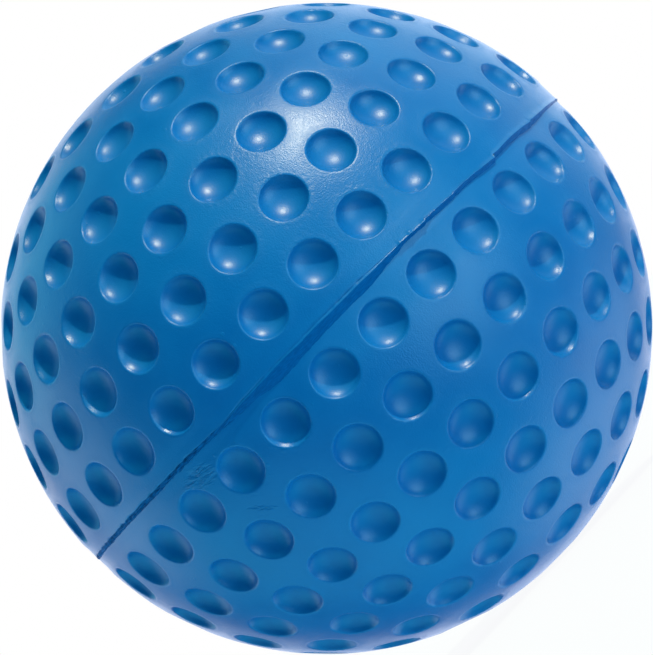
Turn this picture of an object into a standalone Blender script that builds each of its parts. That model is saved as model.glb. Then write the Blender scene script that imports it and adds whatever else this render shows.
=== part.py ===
"""Dimpled practice ball: two bonded half covers, the bead of their seam and a solid core.

Metres, +Z up. The origin is the ball's centre and the seam lies in the XY plane. The two half
covers are one and the same moulding: the lower one is the upper one turned over. Longitudes are
counted from the ball's front, -Y, towards +X.
"""

import math

import bmesh
import bpy
from mathutils import Vector
from mathutils.geometry import delaunay_2d_cdt

# Covers and core
BALL_DIAMETER = 0.072
COVER_WALL = 0.008
CORE_CLEARANCE = 0.0003
SEAM_GAP = 0.0003

# Dimples, with every width taken along the ball's surface
DIMPLE_DIAMETER = 0.0054
DIMPLE_DEPTH = 0.0013
LAND_WIDTH = 0.0021
SEAM_LAND = 0.00215
POLE_LAND = 0.01015

# Rows: the land between the two nearest to the seam, and how much it widens from row to row
ROW_LAND = 0.00202
ROW_SPREAD = 0.00013

# How the moulding's first meridian lies on each half, and each row's shift from it in dimple spacings
UPPER_MERIDIAN = math.radians(-174.5)
LOWER_MERIDIAN = math.radians(-159.8)
ROW_SHIFTS = (0.06, 0.45, -0.01, 0.47, 0.03)
POLE_ROW_SHIFT = 0.72

# Bead of squeezed-out bond along the seam, triangular in section
BEAD_WIDTH = 0.0006
BEAD_DEPTH = 0.0005
BEAD_PROUD = 0.0001
BEAD_CLEARANCE = 0.0003

# Facets
RIM_POINTS = 10
BOWL_RING_SHARES = (0.55,)
SEAM_SEGMENTS = 60
CORE_SEGMENTS = 30
CORE_RINGS = 16
SHARP_ANGLE = math.radians(35)

# Finish of each piece: linear colour and roughness
COVER_BLUE = (0.004, 0.125, 0.410, 1.0)
BEAD_BLUE = (0.003, 0.080, 0.290, 1.0)
CORE_BROWN = (0.300, 0.170, 0.085, 1.0)
COVER_ROUGHNESS = 0.32
BEAD_ROUGHNESS = 0.45
CORE_ROUGHNESS = 0.85

BALL_RADIUS = BALL_DIAMETER / 2
CUP_RADIUS = BALL_RADIUS - COVER_WALL
MATING_HEIGHT = SEAM_GAP / 2


def clear_scene():
    for item in list(bpy.data.objects):
        bpy.data.objects.remove(item, do_unlink=True)


def direction_at(latitude, longitude):
    """Unit vector of a place on the ball."""
    level = math.cos(latitude)
    return Vector((level * math.sin(longitude), -level * math.cos(longitude), math.sin(latitude)))


def row_latitudes():
    """Latitudes of one half's rows: rows that spread from the seam, then the row round the pole."""
    pole_row = math.pi / 2 * BALL_RADIUS - POLE_LAND - DIMPLE_DIAMETER / 2
    arc = SEAM_LAND + DIMPLE_DIAMETER / 2
    pitch = DIMPLE_DIAMETER + ROW_LAND
    arcs = []
    while arc + pitch <= pole_row:
        arcs.append(arc)
        arc += pitch
        pitch += ROW_SPREAD
    arcs.append(pole_row)
    return [arc / BALL_RADIUS for arc in arcs]


def dimple_directions():
    """Centres of one half's dimples. Rows alternate by about half a spacing, and one dimple sits on the pole."""
    full_circle = 2 * math.pi * BALL_RADIUS / (DIMPLE_DIAMETER + LAND_WIDTH)
    latitudes = row_latitudes()
    shifts = [ROW_SHIFTS[row % len(ROW_SHIFTS)] for row in range(len(latitudes) - 1)] + [POLE_ROW_SHIFT]
    centres = []
    for latitude, shift in zip(latitudes, shifts):
        count = round(full_circle * math.cos(latitude))
        for place in range(count):
            centres.append(direction_at(latitude, (place + shift) * 2 * math.pi / count))
    centres.append(Vector((0, 0, 1)))
    return centres


def circle_about(axis, radius, height, count):
    """Points of a circle about an axis through the ball's centre, anticlockwise seen from outside."""
    across = axis.cross(Vector((0, 1, 0)) if abs(axis.z) > 0.9 else Vector((0, 0, 1))).normalized()
    along = axis.cross(across)
    points = []
    for step in range(count):
        angle = 2 * math.pi * step / count
        points.append(axis * height + (across * math.cos(angle) + along * math.sin(angle)) * radius)
    return points


def add_ring(mesh, radius, height, count):
    return [mesh.verts.new(point) for point in circle_about(Vector((0, 0, 1)), radius, height, count)]


def join_rings(mesh, first, second):
    count = len(first)
    for step in range(count):
        after = (step + 1) % count
        mesh.faces.new((first[step], first[after], second[after], second[step]))


def close_ring(mesh, ring, point):
    tip = mesh.verts.new(point)
    for step, vert in enumerate(ring):
        mesh.faces.new((vert, ring[(step + 1) % len(ring)], tip))


def add_bowl(mesh, axis):
    """One dimple, a hollow spherical cap below its rim. Returns the rim's vertices."""
    half_angle = DIMPLE_DIAMETER / 2 / BALL_RADIUS
    rim_radius = BALL_RADIUS * math.sin(half_angle)
    rim_height = BALL_RADIUS * math.cos(half_angle)
    bowl_radius = (rim_radius ** 2 + DIMPLE_DEPTH ** 2) / (2 * DIMPLE_DEPTH)
    bowl_centre = rim_height - DIMPLE_DEPTH + bowl_radius
    bowl_angle = math.acos((bowl_radius - DIMPLE_DEPTH) / bowl_radius)

    rim = [mesh.verts.new(point) for point in circle_about(axis, rim_radius, rim_height, RIM_POINTS)]
    outer = rim
    for share in BOWL_RING_SHARES:
        angle = bowl_angle * share
        level = bowl_centre - bowl_radius * math.cos(angle)
        points = circle_about(axis, bowl_radius * math.sin(angle), level, RIM_POINTS)
        inner = [mesh.verts.new(point) for point in points]
        join_rings(mesh, outer, inner)
        outer = inner
    close_ring(mesh, outer, axis * (bowl_centre - bowl_radius))
    return rim


def fill_between(mesh, outline, holes, loose, flatten):
    """Triangles between an outline and the holes in it, laid out flat by the function flatten."""
    verts = []
    edges = []
    hole_of = []
    for number, loop in enumerate([outline] + holes):
        start = len(verts)
        verts.extend(loop)
        hole_of.extend([number] * len(loop))
        edges.extend((start + step, start + (step + 1) % len(loop)) for step in range(len(loop)))
    verts.extend(loose)
    hole_of.extend([0] * len(loose))
    flat = [flatten(vert.co) for vert in verts]
    triangles = delaunay_2d_cdt(flat, edges, [], 0, 1e-9)[2]
    for corners in triangles:
        loops = {hole_of[corner] for corner in corners}
        if len(loops) > 1 or 0 in loops:
            mesh.faces.new([verts[corner] for corner in corners])


def stereographic(point):
    """The upper half of the ball laid flat, with circles kept as circles."""
    unit = point.normalized()
    return Vector((unit.x, unit.y)) / (1 + unit.z)


def seen_from_above(point):
    return Vector((point.x, point.y)) / BALL_RADIUS


def groove_edges():
    """The seam groove's (radius, height) at its root and at the ball's surface: the bead plus clearance."""
    slope = BEAD_WIDTH / 2 / BEAD_DEPTH
    lift = BEAD_CLEARANCE * math.hypot(1, slope)
    apex = BALL_RADIUS - BEAD_DEPTH - lift / slope
    root_radius = apex + MATING_HEIGHT / slope
    square = 1 + 1 / slope ** 2
    half_linear = apex / slope
    rest = apex ** 2 - BALL_RADIUS ** 2
    edge_height = (math.sqrt(half_linear ** 2 - square * rest) - half_linear) / square
    edge_radius = apex + edge_height / slope
    return (root_radius, MATING_HEIGHT), (edge_radius, edge_height)


def half_cover_mesh():
    """The upper half cover: dimpled outside, half of the seam groove, flat mating face and inner cup."""
    mesh = bmesh.new()
    (root_radius, root_height), (edge_radius, edge_height) = groove_edges()
    edge = add_ring(mesh, edge_radius, edge_height, SEAM_SEGMENTS)
    rims = [add_bowl(mesh, axis) for axis in dimple_directions()]
    plain_angle = (DIMPLE_DIAMETER / 2 + POLE_LAND) / 2 / BALL_RADIUS
    plain_ring = add_ring(
        mesh, BALL_RADIUS * math.sin(plain_angle), BALL_RADIUS * math.cos(plain_angle), RIM_POINTS
    )
    fill_between(mesh, edge, rims, plain_ring, stereographic)

    root = add_ring(mesh, root_radius, root_height, SEAM_SEGMENTS)
    join_rings(mesh, root, edge)

    lowest = math.asin(MATING_HEIGHT / CUP_RADIUS)
    rings_up = CORE_RINGS // 2
    cup = []
    for step in range(rings_up):
        latitude = lowest + (math.pi / 2 - lowest) * step / rings_up
        level = CUP_RADIUS * math.sin(latitude)
        cup.append(add_ring(mesh, CUP_RADIUS * math.cos(latitude), level, CORE_SEGMENTS))
    fill_between(mesh, root, [cup[0]], [], seen_from_above)
    for lower, upper in zip(cup, cup[1:]):
        join_rings(mesh, lower, upper)
    close_ring(mesh, cup[-1], Vector((0, 0, CUP_RADIUS)))
    return finished(mesh, "half_cover")


def seam_bead_mesh():
    """A ring of triangular section that stands a little proud of the ball."""
    mesh = bmesh.new()
    outer_radius = BALL_RADIUS + BEAD_PROUD
    outer_half_width = BEAD_WIDTH / 2 * (BEAD_DEPTH + BEAD_PROUD) / BEAD_DEPTH
    apex = add_ring(mesh, BALL_RADIUS - BEAD_DEPTH, 0, SEAM_SEGMENTS)
    lower = add_ring(mesh, outer_radius, -outer_half_width, SEAM_SEGMENTS)
    upper = add_ring(mesh, outer_radius, outer_half_width, SEAM_SEGMENTS)
    join_rings(mesh, apex, lower)
    join_rings(mesh, lower, upper)
    join_rings(mesh, upper, apex)
    return finished(mesh, "seam_bead")


def core_mesh():
    mesh = bmesh.new()
    bmesh.ops.create_uvsphere(
        mesh, u_segments=CORE_SEGMENTS, v_segments=CORE_RINGS, radius=CUP_RADIUS - CORE_CLEARANCE
    )
    return finished(mesh, "core")


def finished(mesh, name):
    bmesh.ops.recalc_face_normals(mesh, faces=mesh.faces)
    data = bpy.data.meshes.new(name)
    mesh.to_mesh(data)
    mesh.free()
    data.shade_smooth()
    data.set_sharp_from_angle(angle=SHARP_ANGLE)
    return data


def finish_of(name, colour, roughness):
    material = bpy.data.materials.new(name)
    material.use_nodes = True
    shader = material.node_tree.nodes["Principled BSDF"]
    shader.inputs["Base Color"].default_value = colour
    shader.inputs["Roughness"].default_value = roughness
    shader.inputs["Metallic"].default_value = 0.0
    material.diffuse_color = colour
    return material


def add_piece(name, mesh, material, parent, turn=(0.0, 0.0, 0.0)):
    piece = bpy.data.objects.new(name, mesh)
    bpy.context.scene.collection.objects.link(piece)
    piece.parent = parent
    piece.rotation_euler = turn
    if not mesh.materials:
        mesh.materials.append(material)
    return piece


def build_ball():
    ball = bpy.data.objects.new("ball", None)
    bpy.context.scene.collection.objects.link(ball)
    cover_blue = finish_of("cover_blue", COVER_BLUE, COVER_ROUGHNESS)
    bead_blue = finish_of("bead_blue", BEAD_BLUE, BEAD_ROUGHNESS)
    core_brown = finish_of("core_brown", CORE_BROWN, CORE_ROUGHNESS)
    half_cover = half_cover_mesh()
    add_piece("upper_cover", half_cover, cover_blue, ball, (0, 0, UPPER_MERIDIAN))
    add_piece("lower_cover", half_cover, cover_blue, ball, (math.pi, 0, math.pi + LOWER_MERIDIAN))
    add_piece("seam_bead", seam_bead_mesh(), bead_blue, ball)
    add_piece("core", core_mesh(), core_brown, ball)


clear_scene()
build_ball()
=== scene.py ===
"""Looks of the dimpled practice ball.

The ball has two moulded blue half covers, the flash bead on their seam, and a cork core inside.

Metres, +Z up, in the part's own frame. The origin is the ball's centre and the seam lies near the XY plane.
Longitudes are counted from the ball's front, -Y, towards +X. Each half cover is worked out in a frame of
its own, with its pole up; the lower half's frame is the ball's frame turned half a turn about X.
"""

import math
import random
from collections import namedtuple

import bmesh
import bpy
import numpy
from mathutils import Matrix, Vector, noise
from mathutils.geometry import delaunay_2d_cdt


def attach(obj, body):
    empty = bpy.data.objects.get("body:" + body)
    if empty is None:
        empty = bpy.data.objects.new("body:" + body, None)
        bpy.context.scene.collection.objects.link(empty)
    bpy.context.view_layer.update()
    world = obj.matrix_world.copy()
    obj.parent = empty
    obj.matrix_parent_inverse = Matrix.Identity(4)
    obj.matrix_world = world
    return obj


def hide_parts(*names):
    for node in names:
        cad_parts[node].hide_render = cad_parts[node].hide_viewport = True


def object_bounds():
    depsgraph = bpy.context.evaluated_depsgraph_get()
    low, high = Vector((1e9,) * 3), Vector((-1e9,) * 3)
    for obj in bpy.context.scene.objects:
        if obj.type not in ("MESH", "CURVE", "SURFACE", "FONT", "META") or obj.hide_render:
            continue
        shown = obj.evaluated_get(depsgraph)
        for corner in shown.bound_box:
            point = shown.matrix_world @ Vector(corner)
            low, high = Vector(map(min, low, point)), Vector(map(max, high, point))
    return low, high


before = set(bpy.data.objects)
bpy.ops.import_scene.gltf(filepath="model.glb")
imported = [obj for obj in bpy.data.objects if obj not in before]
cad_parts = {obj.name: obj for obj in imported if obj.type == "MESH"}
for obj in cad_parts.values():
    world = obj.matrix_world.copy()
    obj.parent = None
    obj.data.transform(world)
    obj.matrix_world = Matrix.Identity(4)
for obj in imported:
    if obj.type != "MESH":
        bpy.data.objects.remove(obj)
cad_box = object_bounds()

# Records
# a wave of smooth noise, with a shift that sets it apart from the other waves
Wave = namedtuple("Wave", "length height shift")
# the seam's sizes at a place
SeamSection = namedtuple("SeamSection", "lip score facet drop crease")
# the noise of a material
Texture = namedtuple("Texture", "scale detail")
# a patch of fine lines on the land
Mark = namedtuple("Mark", "pixel turn length width spacing_along spacing_across depth")
# a soft card of light
Card = namedtuple("Card", "toward full gone sky pale")

MILLIMETRE = 0.001

# Ball, the same driving sizes as the solids
BALL_RADIUS = 0.036
COVER_WALL = 0.008
SEAM_GAP = 0.0003
DIMPLE_DIAMETER = 0.0054
LAND_WIDTH = 0.0021
SEAM_LAND = 0.00215
POLE_LAND = 0.01015
ROW_LAND = 0.00202
ROW_SPREAD = 0.00013
# how far each row is turned, in shares of the step from dimple to dimple
ROW_SHIFTS = (0.06, 0.45, -0.01, 0.47, 0.03)
POLE_ROW_SHIFT = 0.72
UPPER_MERIDIAN = math.radians(-174.5)
LOWER_MERIDIAN = math.radians(-159.8)
CUP_RADIUS = BALL_RADIUS - COVER_WALL

# Dimple section: a bowl that is part of an ellipsoid, a small round on the rim, and a guard ring on the land
BOWL_HALF_WIDTH = 0.00274
BOWL_HALF_HEIGHT = 0.00175
RIM_SET_IN = 0.00009
RIM_ROUND = 0.00025
GUARD_WIDTH = 0.00018
GUARD_WEAR = 0.6
DIMPLE_POINTS = 36
ROUND_STEPS = 3
BOWL_RINGS = 9
# height of a unit axis from which a dimple counts as near the pole
NEAR_POLE = 0.9

# How unlike one dimple is to the next
SEED = 11
CENTRE_SCATTER = 0.00004
WIDTH_SCATTER = 0.012
RIM_WAVER = 0.00003
RIM_WAVER_SCALE = 1.3
RIM_WAVER_SHIFT = 40

# Land between the dimples: broad and short unevenness, and a ground zone along the seam
LAND_SPACING = 0.0008
GOLDEN_ANGLE = math.pi * (3 - math.sqrt(5))
FLAT_TOLERANCE = 1e-9
BROAD_WAVE = Wave(0.0050, 0.000018, 0.0)
SHORT_WAVE = Wave(0.0013, 0.000005, 7.3)
GROUND_DEPTH = 0.00012
GROUND_FROM = 0.0012
GROUND_TO = 0.0027
# the lower half lies deeper than the upper one along the seam, and comes level with it further off
STEP_FROM = 0.0019
STEP_TO = 0.0065

# Seam line: how it lies along the middle plane
SEAM_COLUMNS = 1440
SEAM_OFFSET = -0.00005
SEAM_DRIFT = -0.0005
SEAM_WAVER = Wave(0.0022, 0.00005, 0.0)
# where the line bends aside: longitude and reach in degrees, then by how many millimetres
SEAM_BENDS = ((-22, 14, -0.22), (52, 6, 0.12))
# where the flash is torn and the line jumps: longitude, how far the jump reaches back, millimetres
SEAM_TEARS = ((45.5, 9, -0.36), (25.4, 5, -0.14), (33.2, 3, -0.08), (60.5, 4, -0.12), (-4.0, 5, -0.07))
# where a burr of torn flash stands on the crest: longitude, reach in degrees, millimetres
SEAM_BURRS = ((24.9, 0.8, 0.10), (21.8, 0.7, 0.10), (19.2, 0.7, 0.12))

# Seam section: longitude in degrees, then in millimetres the lip's height over the upper land, the width of
# the line scored along it, the width of the bead's facet, how far the lower land lies deeper, and the width
# of the creases
SEAM_STATIONS = (
    (-180, 0.06, 0.15, 0.20, 0.20, 0.02),
    (-130, 0.03, 0.15, 0.30, 0.14, 0.04),
    (-80, 0.00, 0.04, 0.42, 0.06, 0.15),
    (-36, 0.00, 0.04, 0.42, 0.08, 0.15),
    (-26, 0.00, 0.08, 0.40, 0.14, 0.06),
    (-18, 0.00, 0.38, 0.80, 0.22, 0.02),
    (-11, 0.00, 0.40, 1.45, 0.36, 0.01),
    (-3, 0.00, 0.40, 1.15, 0.40, 0.01),
    (3, 0.00, 0.40, 0.98, 0.42, 0.01),
    (9, 0.00, 0.40, 1.05, 0.54, 0.005),
    (18, 0.01, 0.12, 0.55, 0.50, 0.005),
    (20, 0.09, 0.20, 0.30, 0.56, 0.005),
    (25, 0.09, 0.20, 0.30, 0.54, 0.005),
    (27, 0.00, 0.08, 0.48, 0.46, 0.005),
    (36, 0.01, 0.08, 0.45, 0.46, 0.005),
    (44, 0.14, 0.08, 0.45, 0.45, 0.005),
    (62, 0.22, 0.10, 0.50, 0.40, 0.005),
    (72, 0.16, 0.10, 0.28, 0.15, 0.005),
    (80, 0.10, 0.12, 0.20, 0.10, 0.01),
    (130, 0.08, 0.15, 0.18, 0.20, 0.02),
)
LEAST_LIP = 0.000002
# width of crease from which the bead has its full painted crease shade and its full roughness
FULL_SHADE_CREASE = 0.00012
# unevenness of these sizes along the seam, as shares of each size
LEAST_CREASE = 0.15
LIP_LONG_RAG = Wave(0.0024, 0.25, 0.0)
LIP_SHORT_RAG = Wave(0.0006, 0.08, 3.1)
SCORE_WIDTH_RAG = Wave(0.0006, 0.08, 6.6)
SCORE_DEPTH_RAG = Wave(0.0007, 0.8, 24.5)
FACET_RAG = Wave(0.0008, 0.12, 9.4)
CREASE_RAG = Wave(0.0007, 1.6, 12.7)

# Strip of each cover along the seam, from the cover's edge to the land
STRIP_TOP = 0.00165
GROOVE_DEPTH = 0.0014
# the lip's height over its run
LIP_SLOPE = 0.45
# the lower cover's crease as a share of the upper one's
LOWER_CREASE = 0.5
# rows over the edge: offset from it and height, in shares of the crease's width
EDGE_ROWS = ((0.0, -0.55), (0.25, -0.36), (0.7, -0.10), (1.4, 0.0))
# rows over the scored line, then its deepest place, reach and depth, all in shares of its width
SCORE_SHARES = (0.2, 0.4, 0.6, 0.8, 1.0)
SCORE_MIDDLE = 0.6
SCORE_REACH = 0.4
SCORE_DEPTH = 0.26
# rows up to the land, in shares of the way that is left
STRIP_SHARES = (0.10, 0.24, 0.46, 0.72, 1.0)

# Bead: its root in the groove, its top beside the crest, and the rows of its cut facet
BEAD_ROOT_DEPTH = 0.00125
BEAD_SHOULDER = 0.000018
BEAD_TOP = 0.00002
UNWRINKLED = CREASE_RAG._replace(height=0.0)
# share of the facet's width from the crest, share of its height from the foot, and the wave of the row's
# wrinkles, whose height is a share of the crease's width
FACET_ROWS = (
    (0.98, 0.00, UNWRINKLED),
    (0.92, 0.06, UNWRINKLED),
    (0.66, 0.34, CREASE_RAG._replace(shift=21.9)),
    (0.46, 0.55, CREASE_RAG._replace(shift=25.3)),
    (0.26, 0.76, CREASE_RAG._replace(shift=28.7)),
    (0.08, 0.94, UNWRINKLED),
)

# Hidden faces, and the core
CUP_SEGMENTS = 60
CUP_RINGS = 12
CORE_CLEARANCE = 0.0003
CORE_SUBDIVISIONS = 6
CORE_PITS = 0.00035
PIT_STEEPNESS = 2.2
# grains of cork per metre
CORK_GRAINS = 450.0

# Photograph's view of the ball, and its frame in pixels
VIEW_DISTANCE = 0.671616
VIEW_ELEVATION = math.radians(-1.561)
VIEW_ROLL = math.radians(45.649)
VIEW_CLIP_START = 0.01
IMAGE_SIZE_PIXELS = (653, 655)
BALL_RADIUS_PIXELS = 325.67
FRAME_SHIFT_PIXELS = (-0.17, 0.99)

# Marks that the photograph shows on the land: the pixel of the middle, the lines' turn on the image in
# degrees, the mark's length and width, the spacing of the lines along and across, and their depth
WRINKLES = Mark((200, 478), 33, 0.0044, 0.0030, 0.0014, 0.00040, 0.00045)
SCRATCHES = Mark((262, 508), 2, 0.0036, 0.0007, 0.0010, 0.00028, 0.00034)
MARK_LINES = Texture(1.0, 3.0)
# share of the mark's reach from which its lines fade, squared
MARK_FADES_FROM = 0.35

# Middle of a noise, and the range in which most of its values lie
NOISE_MIDDLE = 0.5
NOISE_RANGE = (0.3, 0.7)

# Covers' plastic: tones as (place in the noise, colour), gloss, textures with scales per metre, bump heights
COVER_TONES = ((0.30, (0.0005, 0.140, 0.410, 1)), (0.70, (0.0010, 0.165, 0.450, 1)))
COVER_SPECULAR = 0.62
BOWL_ROUGHNESS = 0.38
LAND_ROUGHNESS = 0.335
WORN_ROUGHNESS = 0.10
UNEVEN_ROUGHNESS = 0.04
# depths under the true ball between which the bowl's looks turn into the land's
BOWL_LOOKS_DEPTH = 0.0006
LAND_LOOKS_DEPTH = 0.0002
MOTTLE = Texture(140.0, 4.0)
GRAIN = Texture(6000.0, 2.0)
PEEL = Texture(1500.0, 3.0)
CHIPS = Texture(2000.0, 3.0)
CHIPPED_PLACES = Texture(75.0, 1.0)
CHIPPED_RANGE = (0.42, 0.62)
LEAST_CHIPPED = 0.1
BOWL_GRAIN_SHARE = 0.5
GRAIN_HEIGHT = 0.000025
PEEL_HEIGHT = 0.000010
CHIP_HEIGHT = 0.000110
SPECK_HEIGHT = 0.000020
# specks: cells per metre, the share of cells without one, size and edge in shares of a cell, and tone
SPECK_SCALE = 620.0
SPECKLESS_SHARE = 0.65
SPECK_SIZE = 0.16
SPECK_EDGE = 0.05
SPECK_TONE = 0.25

# Bead's cut edge: tones with painted shade, darker than the cover's, streaks along the seam, gloss
# painted shade: the cut facet's tones are darker than the cover's
FACET_SHADE_TONES = ((0.38, (0.0003, 0.105, 0.330, 1)), (0.62, (0.0006, 0.130, 0.390, 1)))
# painted crease shade: darker tones where the creases are wide
CREASE_SHADE_TONES = ((0.38, (0.0008, 0.060, 0.200, 1)), (0.62, (0.0020, 0.150, 0.420, 1)))
# streaks per metre: few along the seam and many across it
STREAK_SCALE = (1500.0, 1500.0, 9000.0)
STREAKS = Texture(1.0, 3.0)
STREAK_HEIGHT = 0.00004
EDGE_SPECULAR = 0.08
EDGE_ROUGHNESS = (0.70, 0.50)
# share of the roughness that is left where no crease shade is painted
UNSHADED_ROUGHNESS_SHARE = 0.7

# Ground cork
CORK_TONES = (
    (0.0, (0.10, 0.055, 0.028, 1)),
    (0.5, (0.30, 0.17, 0.085, 1)),
    (1.0, (0.44, 0.28, 0.15, 1)),
)
CORK_ROUGHNESS = (0.75, 0.95)
FLECKS = Texture(2600.0, 3.0)
FLECK_TONES = (0.7, 1.1)
FLECK_HEIGHT = 0.0001
FLECK_STRENGTH = 0.6

# Studio: a key lamp and soft cards round the ball, on white
KEY_FROM = (-0.105, 0.950, 0.294)
KEY_STRENGTH = 2.4
KEY_COLOUR = (1.0, 0.93, 0.68)
KEY_ANGLE = math.radians(1.5)
WHITE = (1, 1, 1, 1)
SKY_BLUE = Vector((0.03, 0.80, 1.0))
PALE_BLUE = Vector((0.80, 0.86, 1.0))
# direction as the photograph shows it, right, up and towards the camera; the angles in degrees within which
# a card is full and beyond which it is gone; its sky blue and pale blue strengths
STUDIO_CARDS = {
    "top_front": Card((0.10, 0.70, 0.70), 10, 45, 0.8, 0.0),
    "top_back": Card((0.30, 0.72, -0.62), 10, 40, 0.4, 0.8),
    "right_box": Card((0.66, 0.22, 0.72), 12, 30, 1.3, 0.8),
    "right_box_pale": Card((0.66, 0.42, 0.62), 6, 20, 0.0, 1.2),
    "right_high": Card((0.67, 0.56, 0.48), 10, 35, 0.6, 0.0),
    "right_low": Card((0.72, -0.66, 0.10), 10, 45, 1.0, 0.0),
    "right_back": Card((0.85, -0.25, -0.46), 10, 35, 0.5, 1.2),
    "bottom": Card((0.0, -0.97, 0.20), 10, 50, 1.0, 0.2),
    "left_low": Card((-0.66, -0.72, -0.10), 10, 45, 0.8, 0.0),
    "left_back": Card((-0.78, 0.10, -0.62), 10, 30, 1.1, 0.3),
    "left_back_low": Card((-0.72, -0.50, -0.48), 10, 30, 0.1, 1.2),
    "left_high": Card((-0.65, 0.68, 0.33), 10, 45, 0.9, 0.0),
    "backdrop": Card((0.0, 0.0, -1.0), 10, 40, 0.0, 2.2),
    "front": Card((0.20, -0.20, 0.96), 10, 55, 0.2, 0.0),
}
FLOOR_HALF_SIZE = 3.0
FLOOR_COLOUR = (0.85, 0.85, 0.86, 1)
FLOOR_ROUGHNESS = 0.9
# how much of the floor is plain white to the camera; the rest keeps the ball's shadow
FLOOR_WHITE_SHARE = 0.93


# Places on the ball


def direction_at(latitude, longitude):
    """Unit vector of a place on the ball."""
    level = math.cos(latitude)
    return Vector((level * math.sin(longitude), -level * math.cos(longitude), math.sin(latitude)))


def longitude_of(point):
    """Longitude of a place on the ball."""
    return math.atan2(point.x, -point.y)


def on_middle(longitude):
    """Point of the true ball on its middle plane."""
    return direction_at(0, longitude) * BALL_RADIUS


def turn_between(first, second):
    """Degrees from one longitude to another, within half a turn either way."""
    return (second - first + 180) % 360 - 180


def smooth_step(low, high, value):
    """Share of the way from low to high, eased at both ends and held beyond them."""
    share = min(max((value - low) / (high - low), 0.0), 1.0)
    return share * share * (3 - 2 * share)


def ripple(point, wave):
    """Height of a wave of smooth noise at a place on the ball."""
    return wave.height * noise.noise(point * (1 / wave.length) + Vector((wave.shift,) * 3))


# Camera, and places and directions as the photograph shows them


def view_axes():
    """The view's right, up and towards-the-camera directions in the ball's frame."""
    back = Vector((0, -math.cos(VIEW_ELEVATION), math.sin(VIEW_ELEVATION)))
    level_up = Vector((0, math.sin(VIEW_ELEVATION), math.cos(VIEW_ELEVATION)))
    level_right = Vector((1, 0, 0))
    right = level_right * math.cos(VIEW_ROLL) - level_up * math.sin(VIEW_ROLL)
    up = level_right * math.sin(VIEW_ROLL) + level_up * math.cos(VIEW_ROLL)
    return right, up, back


def from_view(right_share, up_share, back_share):
    """Unit vector of a direction that is given as the photograph shows it."""
    right, up, back = view_axes()
    return (right * right_share + up * up_share + back * back_share).normalized()


def focal_length_pixels():
    """Focal length at which the ball has its size on the photograph."""
    return BALL_RADIUS_PIXELS / math.tan(math.asin(BALL_RADIUS / VIEW_DISTANCE))


def surface_at(column, row):
    """Point of the ball that the photograph shows at a pixel."""
    right, up, back = view_axes()
    width, height = IMAGE_SIZE_PIXELS
    aside = column - width / 2 + FRAME_SHIFT_PIXELS[0]
    upward = height / 2 - row + FRAME_SHIFT_PIXELS[1]
    ray = (right * aside + up * upward - back * focal_length_pixels()).normalized()
    start = back * VIEW_DISTANCE
    nearest = -start.dot(ray)
    half_chord = math.sqrt(BALL_RADIUS ** 2 - start.length_squared + nearest ** 2)
    return start + ray * (nearest - half_chord)


def add_camera():
    """The scene's camera, at the photograph's view."""
    right, up, back = view_axes()
    long_side = max(IMAGE_SIZE_PIXELS)
    data = bpy.data.cameras.new("photograph_view")
    data.lens = focal_length_pixels() / long_side * data.sensor_width
    data.shift_x = FRAME_SHIFT_PIXELS[0] / long_side
    data.shift_y = FRAME_SHIFT_PIXELS[1] / long_side
    data.clip_start = VIEW_CLIP_START
    camera = bpy.data.objects.new("photograph_view", data)
    bpy.context.scene.collection.objects.link(camera)
    turn = Matrix((right, up, back)).transposed()
    camera.matrix_world = Matrix.Translation(back * VIEW_DISTANCE) @ turn.to_4x4()
    bpy.context.scene.camera = camera


# Seam line, its section, and the land beside it


def seam_station(longitude):
    """The seam's sizes at a longitude, eased between the stations."""
    degrees = turn_between(0, math.degrees(longitude))
    first = SEAM_STATIONS[0]
    around = SEAM_STATIONS + ((first[0] + 360,) + first[1:],)
    before, after = next(pair for pair in zip(around, around[1:]) if degrees <= pair[1][0])
    share = smooth_step(before[0], after[0], degrees)
    sizes = zip(before[1:], after[1:])
    return SeamSection(*[MILLIMETRE * (low + (high - low) * share) for low, high in sizes])


def nearness(longitude, centre, reach):
    """1 at a centre, eased to 0 at its reach on both sides. Centre and reach are in degrees."""
    away = turn_between(centre, math.degrees(longitude))
    return 1 - smooth_step(0, reach, abs(away))


def burr_height(longitude):
    """How far the burrs stand over the crest at a longitude."""
    height = 0.0
    for centre, reach, rise in SEAM_BURRS:
        height += MILLIMETRE * rise * nearness(longitude, centre, reach)
    return height


def seam_section(longitude):
    """The station's sizes with the flash's own unevenness and its burrs."""
    station = seam_station(longitude)
    place = on_middle(longitude)
    lip = station.lip * (1 + ripple(place, LIP_LONG_RAG) + ripple(place, LIP_SHORT_RAG))
    return SeamSection(
        lip=max(LEAST_LIP, lip + burr_height(longitude)),
        score=station.score * (1 + ripple(place, SCORE_WIDTH_RAG)),
        facet=station.facet * (1 + ripple(place, FACET_RAG)),
        drop=station.drop,
        crease=station.crease * max(LEAST_CREASE, 1 + ripple(place, CREASE_RAG)),
    )


def seam_height(longitude):
    """Height of the seam line along the ball's surface, above the middle plane."""
    height = SEAM_OFFSET + SEAM_DRIFT * math.sin(longitude)
    for centre, reach, step in SEAM_BENDS:
        height += MILLIMETRE * step * nearness(longitude, centre, reach)
    for centre, reach, step in SEAM_TEARS:
        behind = turn_between(math.degrees(longitude), centre)
        if 0 <= behind < reach:
            height += MILLIMETRE * step * (1 - behind / reach)
    return height + ripple(on_middle(longitude), SEAM_WAVER)


def ground_drop(arc):
    """How far the land is ground down at an arc's length from the middle plane."""
    return GROUND_DEPTH * (1 - smooth_step(GROUND_FROM, GROUND_TO, abs(arc)))


def relief(unit, lower=False):
    """Height of the moulding's outside over the true ball in a direction, on the upper or the lower half."""
    arc = math.asin(max(-1.0, min(1.0, unit.z))) * BALL_RADIUS
    point = unit * BALL_RADIUS
    height = ripple(point, BROAD_WAVE) + ripple(point, SHORT_WAVE) - ground_drop(arc)
    if lower and -arc < STEP_TO:
        height -= seam_station(longitude_of(unit)).drop * (1 - smooth_step(STEP_FROM, STEP_TO, -arc))
    return height


# Strips of the covers along the seam, as rows of (arc from the middle plane, lift over the land)


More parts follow.
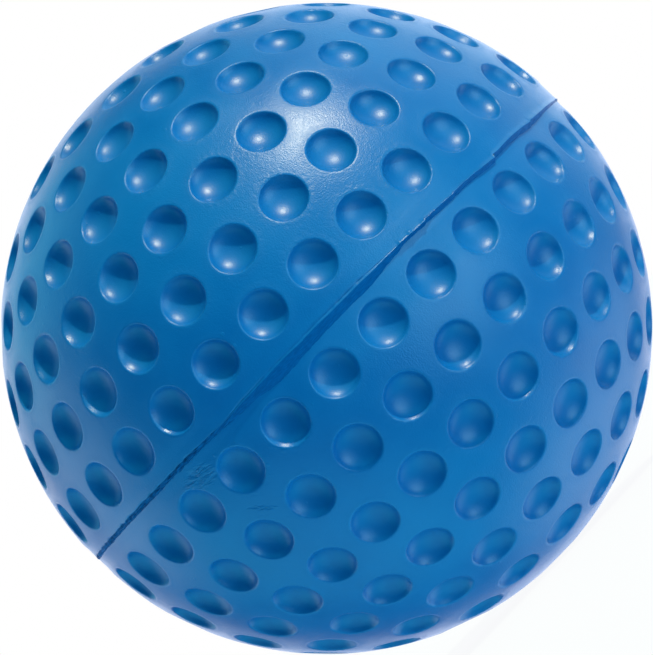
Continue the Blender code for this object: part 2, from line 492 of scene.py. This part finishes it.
def edge_rows(edge, crease):
    """Rows over a cover's edge, from the bottom of the crease."""
    return [(edge + offset * crease, height * crease) for offset, height in EDGE_ROWS]


def land_rows(start):
    """Rows from an arc to the strip's top."""
    return [(start + (STRIP_TOP - start) * share, 0.0) for share in STRIP_SHARES]


def score_dip(longitude, width, arc):
    """Depth of the line scored along the upper cover's edge, at an arc's length from that edge."""
    depth = width * SCORE_DEPTH * (1 + ripple(on_middle(longitude), SCORE_DEPTH_RAG))
    return depth * (1 - smooth_step(0, SCORE_REACH, abs(arc / width - SCORE_MIDDLE)))


def upper_strip(longitude):
    """Rows of the upper cover's strip: over its edge and its lip, the scored line, and on to the land."""
    section = seam_section(longitude)
    edge = seam_height(longitude) + BEAD_TOP
    rows = edge_rows(edge, section.crease)
    score_start = rows[-1][0]
    rows += [(score_start + section.score * share, 0.0) for share in SCORE_SHARES]
    rows += land_rows(rows[-1][0])
    lip_run = section.lip / LIP_SLOPE
    raised = []
    for arc, lift in rows:
        lip = section.lip * (1 - smooth_step(0, lip_run, arc - edge))
        dip = score_dip(longitude, section.score, arc - edge)
        raised.append((arc, lift + lip - dip))
    return raised


def lower_strip(longitude):
    """Rows of the lower cover's strip, from the foot of the bead's facet to the land."""
    section = seam_section(longitude)
    edge = section.facet - seam_height(longitude)
    rows = edge_rows(edge, section.crease * LOWER_CREASE)
    return rows + land_rows(rows[-1][0])


# Dimples


def row_latitudes():
    """Latitudes of one half's rows: rows that spread from the seam, then the row round the pole."""
    pole_row = math.pi / 2 * BALL_RADIUS - POLE_LAND - DIMPLE_DIAMETER / 2
    arc = SEAM_LAND + DIMPLE_DIAMETER / 2
    pitch = DIMPLE_DIAMETER + ROW_LAND
    arcs = []
    while arc + pitch <= pole_row:
        arcs.append(arc)
        arc += pitch
        pitch += ROW_SPREAD
    arcs.append(pole_row)
    return [arc / BALL_RADIUS for arc in arcs]


def dimple_directions(turn):
    """Centres of one half's dimples, in the half's own frame, turned about its pole."""
    full_circle = 2 * math.pi * BALL_RADIUS / (DIMPLE_DIAMETER + LAND_WIDTH)
    latitudes = row_latitudes()
    shifts = [ROW_SHIFTS[row % len(ROW_SHIFTS)] for row in range(len(latitudes) - 1)]
    shifts.append(POLE_ROW_SHIFT)
    centres = []
    for latitude, shift in zip(latitudes, shifts):
        count = round(full_circle * math.cos(latitude))
        for place in range(count):
            centres.append(direction_at(latitude, (place + shift) * 2 * math.pi / count + turn))
    centres.append(Vector((0, 0, 1)))
    return centres


def dimple_section(scale):
    """(radius, height, wear) of each ring of a dimple, from the land inwards, and the bottom's height.

    Radius and height are measured from the ball's centre, across and along the dimple's axis.
    """
    wall_radius = scale * DIMPLE_DIAMETER / 2 - RIM_SET_IN
    half_width = scale * BOWL_HALF_WIDTH
    wall_angle = math.asin(wall_radius / half_width)
    wall_slope = math.atan(BOWL_HALF_HEIGHT / half_width * math.tan(wall_angle))
    round_middle = wall_radius + RIM_ROUND * math.sin(wall_slope)
    rim_angle = math.asin(round_middle / (BALL_RADIUS - RIM_ROUND))
    round_height = (BALL_RADIUS - RIM_ROUND) * math.cos(rim_angle)
    wall_height = round_height + RIM_ROUND * math.cos(wall_slope)
    bowl_middle = wall_height + BOWL_HALF_HEIGHT * math.cos(wall_angle)

    guard_angle = rim_angle + GUARD_WIDTH / BALL_RADIUS
    rings = [(BALL_RADIUS * math.sin(guard_angle), BALL_RADIUS * math.cos(guard_angle), GUARD_WEAR)]
    for step in range(ROUND_STEPS + 1):
        slope = -rim_angle + (wall_slope + rim_angle) * step / ROUND_STEPS
        radius = round_middle - RIM_ROUND * math.sin(slope)
        height = round_height + RIM_ROUND * math.cos(slope)
        rings.append((radius, height, math.sin(math.pi * step / ROUND_STEPS)))
    for ring in range(1, BOWL_RINGS):
        angle = wall_angle * (1 - ring / BOWL_RINGS)
        height = bowl_middle - BOWL_HALF_HEIGHT * math.cos(angle)
        rings.append((half_width * math.sin(angle), height, 0.0))
    return rings, bowl_middle - BOWL_HALF_HEIGHT


def circle_about(axis, radius, height, count):
    """Points of a circle about an axis through the ball's centre, anticlockwise seen from outside."""
    aside = Vector((0, 1, 0)) if abs(axis.z) > NEAR_POLE else Vector((0, 0, 1))
    across = axis.cross(aside).normalized()
    along = axis.cross(across)
    points = []
    for step in range(count):
        angle = 2 * math.pi * step / count
        points.append(axis * height + (across * math.cos(angle) + along * math.sin(angle)) * radius)
    return points


# Half covers


def stereographic(point):
    """A place on a half of the ball laid flat, with circles kept as circles."""
    unit = point.normalized()
    return Vector((unit.x, unit.y)) / (1 + unit.z)


def from_above(point):
    """A place on the mating face laid flat."""
    return Vector((point.x, point.y)) / BALL_RADIUS


class HalfCover:
    """Mesh of one half cover. side is 1 for the upper half and -1 for the lower one."""

    def __init__(self, side, turn):
        self.side = side
        self.centres = dimple_directions(turn)
        self.mesh = bmesh.new()
        self.wear = self.mesh.verts.layers.float.new("wear")

    def to_ball(self, point):
        """A point of the half's own frame in the ball's frame, or the other way round."""
        return Vector((point.x, self.side * point.y, self.side * point.z))

    def add_hidden(self, point):
        """A vertex on a face that doesn't show."""
        return self.mesh.verts.new(self.to_ball(point))

    def add_outer(self, point, wear=0.0):
        """A vertex on the outside, with the moulding's unevenness added to it."""
        place = self.to_ball(point)
        unit = place.normalized()
        vert = self.mesh.verts.new(place + unit * relief(unit, self.side < 0))
        vert[self.wear] = wear
        return vert

    def join_rings(self, first, second):
        """Faces between two rings with the same number of vertices."""
        count = len(first)
        for step in range(count):
            after = (step + 1) % count
            self.mesh.faces.new((first[step], first[after], second[after], second[step]))

    def close_ring(self, ring, tip):
        """Faces from a ring to one vertex in its middle."""
        for step, vert in enumerate(ring):
            self.mesh.faces.new((vert, ring[(step + 1) % len(ring)], tip))

    def fill_between(self, outline, holes, loose, flatten):
        """Triangles between an outline and the holes in it, laid out flat by the function flatten."""
        verts = []
        edges = []
        hole_of = []
        for number, loop in enumerate([outline] + holes):
            start = len(verts)
            verts.extend(loop)
            hole_of.extend([number] * len(loop))
            edges.extend((start + step, start + (step + 1) % len(loop)) for step in range(len(loop)))
        verts.extend(loose)
        hole_of.extend([0] * len(loose))
        flat = [flatten(self.to_ball(vert.co)) for vert in verts]
        triangles = delaunay_2d_cdt(flat, edges, [], 0, FLAT_TOLERANCE)[2]
        for corners in triangles:
            loops = {hole_of[corner] for corner in corners}
            # a triangle with all its corners on one hole lies in that hole
            if len(loops) > 1 or 0 in loops:
                self.mesh.faces.new([verts[corner] for corner in corners])

    def add_dimple(self, axis, scale):
        """One dimple. Returns the ring of vertices on the land round it."""
        rings, bottom = dimple_section(scale)
        loops = []
        for radius, height, wear in rings:
            reach = RIM_WAVER * min(1.0, radius / DIMPLE_DIAMETER * 2)
            loop = []
            for point in circle_about(axis, radius, height, DIMPLE_POINTS):
                outward = (point - axis * height) / radius
                waver = reach * noise.noise(outward * RIM_WAVER_SCALE + axis * RIM_WAVER_SHIFT)
                loop.append(self.add_outer(point + outward * waver, wear))
            loops.append(loop)
        for outer, inner in zip(loops, loops[1:]):
            self.join_rings(outer, inner)
        self.close_ring(loops[-1], self.add_outer(axis * bottom))
        return loops[0]

    def add_dimples(self):
        """All the dimples, each a little off its place and size. Returns their rings on the land."""
        draw = random.Random(SEED + self.side)
        guards = []
        for centre in self.centres:
            scatter = Vector([draw.uniform(-1, 1) for _ in range(3)]) * CENTRE_SCATTER / BALL_RADIUS
            scale = 1 + draw.uniform(-1, 1) * WIDTH_SCATTER
            guards.append(self.add_dimple((centre + scatter).normalized(), scale))
        return guards

    def add_land_points(self):
        """Evenly spread points on the land, clear of the dimples and of the strip along the seam."""
        count = round(4 * math.pi * BALL_RADIUS ** 2 / (LAND_SPACING ** 2 * math.sin(math.pi / 3)))
        steps = numpy.arange(count) + 0.5
        height = 1 - 2 * steps / count
        angle = steps * GOLDEN_ANGLE
        level = numpy.sqrt(1 - height ** 2)
        places = numpy.stack([level * numpy.cos(angle), level * numpy.sin(angle), height], axis=1)
        nearest = (places @ numpy.array([tuple(centre) for centre in self.centres]).T).max(axis=1)
        clear_angle = (DIMPLE_DIAMETER / 2 + RIM_ROUND + GUARD_WIDTH + LAND_SPACING / 2) / BALL_RADIUS
        lowest = (STRIP_TOP + LAND_SPACING / 2) / BALL_RADIUS
        kept = places[(nearest < math.cos(clear_angle)) & (height > math.sin(lowest))]
        return [self.add_outer(Vector(place) * BALL_RADIUS) for place in kept]

    def add_seam_strip(self):
        """Rows from the groove's root, over the cover's edge, to the land. Returns the first and last."""
        strip = upper_strip if self.side > 0 else lower_strip
        root_radius = BALL_RADIUS - GROOVE_DEPTH
        root_latitude = math.asin(SEAM_GAP / 2 / root_radius)
        columns = []
        for column in range(SEAM_COLUMNS):
            longitude = 2 * math.pi * column / SEAM_COLUMNS
            on_ball = longitude_of(self.to_ball(direction_at(0, longitude)))
            verts = [self.add_hidden(direction_at(root_latitude, longitude) * root_radius)]
            for arc, lift in strip(on_ball):
                place = direction_at(arc / BALL_RADIUS, longitude) * (BALL_RADIUS + lift)
                verts.append(self.add_outer(place))
            columns.append(verts)
        rows = list(zip(*columns))
        for lower, upper in zip(rows, rows[1:]):
            self.join_rings(lower, upper)
        return rows[0], rows[-1]

    def add_inside(self, root):
        """Mating face from the groove's root to the inner cup, and the cup."""
        lowest = math.asin(SEAM_GAP / 2 / CUP_RADIUS)
        cup = []
        for step in range(CUP_RINGS):
            latitude = lowest + (math.pi / 2 - lowest) * step / CUP_RINGS
            ring = []
            for place in range(CUP_SEGMENTS):
                longitude = 2 * math.pi * place / CUP_SEGMENTS
                ring.append(self.add_hidden(direction_at(latitude, longitude) * CUP_RADIUS))
            cup.append(ring)
        self.fill_between(root, [cup[0]], [], from_above)
        for lower, upper in zip(cup, cup[1:]):
            self.join_rings(lower, upper)
        self.close_ring(cup[-1], self.add_hidden(Vector((0, 0, CUP_RADIUS))))

    def build(self, name):
        """The half cover as an object."""
        guards = self.add_dimples()
        loose = self.add_land_points()
        root, strip_top = self.add_seam_strip()
        self.fill_between(strip_top, guards, loose, stereographic)
        self.add_inside(root)
        return finished(self.mesh, name)


def finished(mesh, name):
    """A smooth-shaded object of a mesh whose faces point out."""
    bmesh.ops.recalc_face_normals(mesh, faces=mesh.faces)
    data = bpy.data.meshes.new(name)
    mesh.to_mesh(data)
    mesh.free()
    data.shade_smooth()
    piece = bpy.data.objects.new(name, data)
    bpy.context.scene.collection.objects.link(piece)
    return piece


# Seam bead


def bead_profile(longitude):
    """(offset, lift) of the bead's outside at a longitude, from the foot of its cut facet to its crest."""
    section = seam_section(longitude)
    place = on_middle(longitude)
    crest = section.lip
    dip = -EDGE_ROWS[0][1] * section.crease
    profile = [(-section.facet, -section.drop - dip * LOWER_CREASE)]
    for share, level, wave in FACET_ROWS:
        lift = -section.drop + (crest + section.drop) * level
        wrinkle = section.crease * ripple(place, wave)
        profile.append((-section.facet * share, lift + wrinkle))
    profile += [(0.0, crest), (BEAD_SHOULDER, crest), (BEAD_TOP, crest - dip)]
    return profile


def seam_bead(name):
    """What the trimmed flash left: a ring with a cut facet, whose width and slope change round the ball."""
    mesh = bmesh.new()
    crease_shade = mesh.verts.layers.float.new("crease_shade")
    rows = []
    for column in range(SEAM_COLUMNS):
        longitude = 2 * math.pi * column / SEAM_COLUMNS
        row = [mesh.verts.new(direction_at(0, longitude) * (BALL_RADIUS - BEAD_ROOT_DEPTH))]
        for offset, lift in bead_profile(longitude):
            unit = direction_at((seam_height(longitude) + offset) / BALL_RADIUS, longitude)
            row.append(mesh.verts.new(unit * (BALL_RADIUS + lift + relief(unit))))
        # painted crease shade: the wider the creases, the darker the bead; it also makes the bead rougher
        crease_shade_share = min(1.0, seam_station(longitude).crease / FULL_SHADE_CREASE)
        for vert in row:
            vert[crease_shade] = crease_shade_share
        rows.append(row)
    for column, row in enumerate(rows):
        after = rows[(column + 1) % SEAM_COLUMNS]
        for step in range(len(row)):
            turn = (step + 1) % len(row)
            mesh.faces.new((row[step], after[step], after[turn], row[turn]))
    return finished(mesh, name)


# Core


def cork_core(name):
    """A ball of ground cork and rubber, pitted between its grains."""
    mesh = bmesh.new()
    radius = CUP_RADIUS - CORE_CLEARANCE
    bmesh.ops.create_icosphere(mesh, subdivisions=CORE_SUBDIVISIONS, radius=radius)
    for vert in mesh.verts:
        nearest, second, *_ = noise.voronoi(vert.co * CORK_GRAINS)[0]
        pit = max(0.0, 1 - PIT_STEEPNESS * (second - nearest))
        vert.co -= vert.co.normalized() * CORE_PITS * pit
    return finished(mesh, name)


# Nodes of the materials


# numbers of the mix node's colour sockets, whose names repeat
MIX_SHARE = 0
MIX_FIRST = 6
MIX_SECOND = 7
MIX_RESULT = 2


def wire(tree, kind, inputs, **settings):
    """A node with its settings, and with each input set to a value or linked to a socket."""
    made = tree.nodes.new(kind)
    for key, value in settings.items():
        setattr(made, key, value)
    for key, value in inputs.items():
        if isinstance(value, bpy.types.NodeSocket):
            tree.links.new(value, made.inputs[key])
        else:
            made.inputs[key].default_value = value
    return made


def calculate(tree, operation, first, second):
    """Result of an operation on two numbers."""
    return wire(tree, "ShaderNodeMath", {0: first, 1: second}, operation=operation).outputs[0]


def vector_math(tree, operation, inputs, output="Vector"):
    """Result of an operation on vectors."""
    return wire(tree, "ShaderNodeVectorMath", inputs, operation=operation).outputs[output]


def rescale(tree, value, low, high, to_low, to_high):
    """A value's range from low to high turned into another range, and held at its ends."""
    inputs = {"Value": value, "From Min": low, "From Max": high, "To Min": to_low, "To Max": to_high}
    return wire(tree, "ShaderNodeMapRange", inputs).outputs["Result"]


def ramp(tree, factor, tones):
    """Colour between the tones, by a factor."""
    made = wire(tree, "ShaderNodeValToRGB", {"Fac": factor})
    elements = made.color_ramp.elements
    while len(elements) < len(tones):
        elements.new(0.5)
    for element, (position, colour) in zip(elements, tones):
        element.position = position
        element.color = colour
    return made.outputs["Color"]


def mix_colours(tree, share, first, second):
    """The first colour turned into the second by a share."""
    inputs = {MIX_SHARE: share, MIX_FIRST: first, MIX_SECOND: second}
    return wire(tree, "ShaderNodeMix", inputs, data_type="RGBA").outputs[MIX_RESULT]


def object_place(tree):
    """Place of a surface point in the ball's frame."""
    return wire(tree, "ShaderNodeTexCoord", {}).outputs["Object"]


def vertex_value(tree, layer):
    """A value that the mesh keeps for its vertices."""
    return wire(tree, "ShaderNodeAttribute", {}, attribute_name=layer).outputs["Fac"]


def noise_at(tree, place, texture):
    """Smooth noise with a texture's scale and detail."""
    inputs = {"Vector": place, "Scale": texture.scale, "Detail": texture.detail}
    return wire(tree, "ShaderNodeTexNoise", inputs).outputs["Fac"]


def random_cells(tree, place, scale):
    """A random value for each cell of an uneven pattern, and the distance from the cell's middle."""
    cells = wire(tree, "ShaderNodeTexVoronoi", {"Vector": place, "Scale": scale})
    value = wire(tree, "ShaderNodeSeparateColor", {"Color": cells.outputs["Color"]}).outputs["Red"]
    return value, cells.outputs["Distance"]


def bumped(tree, layers, strength=1.0):
    """Normal of a surface with layers of bumps, (pattern, height), each on top of those before it."""
    normal = None
    for pattern, height in layers:
        inputs = {"Height": pattern, "Strength": strength, "Distance": height}
        if normal is not None:
            inputs["Normal"] = normal
        normal = wire(tree, "ShaderNodeBump", inputs).outputs["Normal"]
    return normal


def new_material(name):
    """A material, its nodes and its shader."""
    material = bpy.data.materials.new(name)
    material.use_nodes = True
    tree = material.node_tree
    return material, tree, tree.nodes["Principled BSDF"]


# Materials


def chip_pattern(tree, place, wear):
    """Small rises and hollows about zero where the surface is worn, stronger in some places."""
    chipped = noise_at(tree, place, CHIPPED_PLACES)
    amount = rescale(tree, chipped, *CHIPPED_RANGE, LEAST_CHIPPED, 1.0)
    rises = calculate(tree, "SUBTRACT", noise_at(tree, place, CHIPS), NOISE_MIDDLE)
    return calculate(tree, "MULTIPLY", calculate(tree, "MULTIPLY", rises, amount), wear)


def speck_pattern(tree, place):
    """Small round spots in some of the cells of a random pattern."""
    chosen, distance = random_cells(tree, place, SPECK_SCALE)
    size = rescale(tree, chosen, SPECKLESS_SHARE, 1.0, 0.0, SPECK_SIZE)
    return rescale(tree, calculate(tree, "SUBTRACT", size, distance), 0.0, SPECK_EDGE, 0.0, 1.0)


def mark_pattern(tree, place, mark):
    """Wavy lines about zero in a soft-edged patch, where the photograph shows them on the near side."""
    right, up, back = view_axes()
    turn = math.radians(mark.turn)
    along = right * math.cos(turn) + up * math.sin(turn)
    across = along.cross(back)
    offset = vector_math(tree, "SUBTRACT", {0: place, 1: surface_at(*mark.pixel)})
    far_along, far_across, far_back = [
        vector_math(tree, "DOT_PRODUCT", {0: offset, 1: axis}, "Value") for axis in (along, across, back)
    ]
    away = 0.0
    # the reach along the view keeps the lines off the ball's far side
    for far, reach in ((far_along, mark.length / 2), (far_across, mark.width / 2), (far_back, BALL_RADIUS)):
        share = calculate(tree, "DIVIDE", far, reach)
        away = calculate(tree, "ADD", away, calculate(tree, "MULTIPLY", share, share))
    patch = rescale(tree, away, MARK_FADES_FROM, 1.0, 1.0, 0.0)
    steps = {
        "X": calculate(tree, "DIVIDE", far_along, mark.spacing_along),
        "Y": calculate(tree, "DIVIDE", far_across, mark.spacing_across),
    }
    grid = wire(tree, "ShaderNodeCombineXYZ", steps).outputs["Vector"]
    lines = calculate(tree, "SUBTRACT", noise_at(tree, grid, MARK_LINES), NOISE_MIDDLE)
    return calculate(tree, "MULTIPLY", lines, patch)


def moulded_blue(name):
    """Semi-gloss moulded polyurethane: grainy land, less grain in the bowls, chipped rims, specks, marks."""
    material, tree, shader = new_material(name)
    place = object_place(tree)
    radius = vector_math(tree, "LENGTH", {0: place}, "Value")
    land = rescale(tree, radius, BALL_RADIUS - BOWL_LOOKS_DEPTH, BALL_RADIUS - LAND_LOOKS_DEPTH, 0.0, 1.0)
    wear = vertex_value(tree, "wear")
    mottle = noise_at(tree, place, MOTTLE)
    specks = speck_pattern(tree, place)

    tone = calculate(tree, "ADD", mottle, calculate(tree, "MULTIPLY", specks, SPECK_TONE))
    tree.links.new(ramp(tree, tone, COVER_TONES), shader.inputs["Base Color"])
    shader.inputs["Specular IOR Level"].default_value = COVER_SPECULAR

    rough = rescale(tree, land, 0.0, 1.0, BOWL_ROUGHNESS, LAND_ROUGHNESS)
    worn = calculate(tree, "ADD", rough, calculate(tree, "MULTIPLY", wear, WORN_ROUGHNESS))
    uneven = rescale(tree, mottle, *NOISE_RANGE, -UNEVEN_ROUGHNESS, UNEVEN_ROUGHNESS)
    tree.links.new(calculate(tree, "ADD", worn, uneven), shader.inputs["Roughness"])

    grain_share = rescale(tree, land, 0.0, 1.0, BOWL_GRAIN_SHARE, 1.0)
    layers = [
        (calculate(tree, "MULTIPLY", noise_at(tree, place, GRAIN), grain_share), GRAIN_HEIGHT),
        (noise_at(tree, place, PEEL), PEEL_HEIGHT),
        (chip_pattern(tree, place, wear), CHIP_HEIGHT),
        (specks, SPECK_HEIGHT),
    ]
    layers += [(mark_pattern(tree, place, mark), mark.depth) for mark in (WRINKLES, SCRATCHES)]
    tree.links.new(bumped(tree, layers), shader.inputs["Normal"])
    return material


def trimmed_edge(name):
    """The same plastic where the flash was cut away: dull, streaked along the seam, darker with painted
    shade, most at wide creases.
    """
    material, tree, shader = new_material(name)
    # share of painted crease shade kept for each vertex; it also makes the edge rougher
    crease_shade = vertex_value(tree, "crease_shade")
    drawn_out = wire(tree, "ShaderNodeMapping", {"Vector": object_place(tree), "Scale": STREAK_SCALE})
    streaks = noise_at(tree, drawn_out.outputs["Vector"], STREAKS)
    # painted shade: the facet's tones are darker than the cover's, and darker still where crease shade is
    # painted
    facet_shade_colour = ramp(tree, streaks, FACET_SHADE_TONES)
    crease_shade_colour = ramp(tree, streaks, CREASE_SHADE_TONES)
    tree.links.new(mix_colours(tree, crease_shade, facet_shade_colour, crease_shade_colour), shader.inputs["Base Color"])
    shader.inputs["Specular IOR Level"].default_value = EDGE_SPECULAR
    rough = rescale(tree, streaks, *NOISE_RANGE, *EDGE_ROUGHNESS)
    rough_share = rescale(tree, crease_shade, 0.0, 1.0, UNSHADED_ROUGHNESS_SHARE, 1.0)
    tree.links.new(calculate(tree, "MULTIPLY", rough, rough_share), shader.inputs["Roughness"])
    tree.links.new(bumped(tree, [(streaks, STREAK_HEIGHT)]), shader.inputs["Normal"])
    return material


def ground_cork(name):
    """Grains of cork in a dark rubber binder."""
    material, tree, shader = new_material(name)
    place = object_place(tree)
    grain = random_cells(tree, place, CORK_GRAINS)[0]
    flecks = noise_at(tree, place, FLECKS)
    tone = calculate(tree, "MULTIPLY", grain, rescale(tree, flecks, *NOISE_RANGE, *FLECK_TONES))
    tree.links.new(ramp(tree, tone, CORK_TONES), shader.inputs["Base Color"])
    tree.links.new(rescale(tree, flecks, *NOISE_RANGE, *CORK_ROUGHNESS), shader.inputs["Roughness"])
    tree.links.new(bumped(tree, [(flecks, FLECK_HEIGHT)], FLECK_STRENGTH), shader.inputs["Normal"])
    return material


def dress(piece, node, material):
    """A piece's material, the body it hangs from, and the part node that it stands for, which is hidden."""
    piece.data.materials.append(material)
    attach(piece, "root")
    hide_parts(node)


# Studio


def add_key():
    """The key lamp."""
    key = bpy.data.lights.new("key", "SUN")
    key.energy = KEY_STRENGTH
    key.color = KEY_COLOUR
    key.angle = KEY_ANGLE
    lamp = bpy.data.objects.new("key", key)
    lamp.rotation_mode = "QUATERNION"
    lamp.rotation_quaternion = from_view(*KEY_FROM).to_track_quat("Z", "Y")
    bpy.context.scene.collection.objects.link(lamp)


def card_light(tree, way, card):
    """Light that a soft card sends from a direction."""
    edges = {
        "Value": vector_math(tree, "DOT_PRODUCT", {0: way, 1: from_view(*card.toward)}, "Value"),
        "From Min": math.cos(math.radians(card.gone)),
        "From Max": math.cos(math.radians(card.full)),
    }
    level = wire(tree, "ShaderNodeMapRange", edges, interpolation_type="SMOOTHSTEP").outputs["Result"]
    colour = SKY_BLUE * card.sky + PALE_BLUE * card.pale
    return vector_math(tree, "SCALE", {0: colour, "Scale": level})


def add_world():
    """White to the camera; the soft cards light the ball and show in its gloss."""
    world = bpy.data.worlds.new("studio")
    bpy.context.scene.world = world
    world.use_nodes = True
    tree = world.node_tree
    way = wire(tree, "ShaderNodeTexCoord", {}).outputs["Generated"]
    light = Vector((0, 0, 0))
    for card in STUDIO_CARDS.values():
        light = vector_math(tree, "ADD", {0: light, 1: card_light(tree, way, card)})
    to_camera = wire(tree, "ShaderNodeLightPath", {}).outputs["Is Camera Ray"]
    tree.links.new(mix_colours(tree, to_camera, light, WHITE), tree.nodes["Background"].inputs["Color"])


def add_floor():
    """A pale floor under the ball, near white to the camera, which keeps the ball's shadow."""
    mesh = bmesh.new()
    bmesh.ops.create_grid(mesh, x_segments=1, y_segments=1, size=FLOOR_HALF_SIZE)
    data = bpy.data.meshes.new("floor")
    mesh.to_mesh(data)
    mesh.free()
    floor = bpy.data.objects.new("floor", data)
    bpy.context.scene.collection.objects.link(floor)
    floor.location = (0, 0, cad_box[0].z)
    floor.visible_glossy = False
    floor.visible_diffuse = False
    floor.visible_shadow = False
    material, tree, shader = new_material("floor")
    shader.inputs["Base Color"].default_value = FLOOR_COLOUR
    shader.inputs["Roughness"].default_value = FLOOR_ROUGHNESS
    white = wire(tree, "ShaderNodeEmission", {"Color": WHITE, "Strength": 1.0}).outputs["Emission"]
    to_camera = wire(tree, "ShaderNodeLightPath", {}).outputs["Is Camera Ray"]
    share = calculate(tree, "MULTIPLY", to_camera, FLOOR_WHITE_SHARE)
    mix = wire(tree, "ShaderNodeMixShader", {0: share, 1: shader.outputs["BSDF"], 2: white})
    tree.links.new(mix.outputs["Shader"], tree.nodes["Material Output"].inputs["Surface"])
    data.materials.append(material)


# Ball in its studio

cover_blue = moulded_blue("cover_blue")
bead_blue = trimmed_edge("bead_blue")
cork = ground_cork("ground_cork")

upper = HalfCover(1, UPPER_MERIDIAN).build("upper_cover_moulding")
lower = HalfCover(-1, math.pi - LOWER_MERIDIAN).build("lower_cover_moulding")
dress(upper, "upper_cover", cover_blue)
dress(lower, "lower_cover", cover_blue)
dress(seam_bead("seam_flash_bead"), "seam_bead", bead_blue)
dress(cork_core("cork_core"), "core", cork)

add_camera()
add_key()
add_world()
add_floor()
bpy.context.scene.view_settings.view_transform = "Standard"
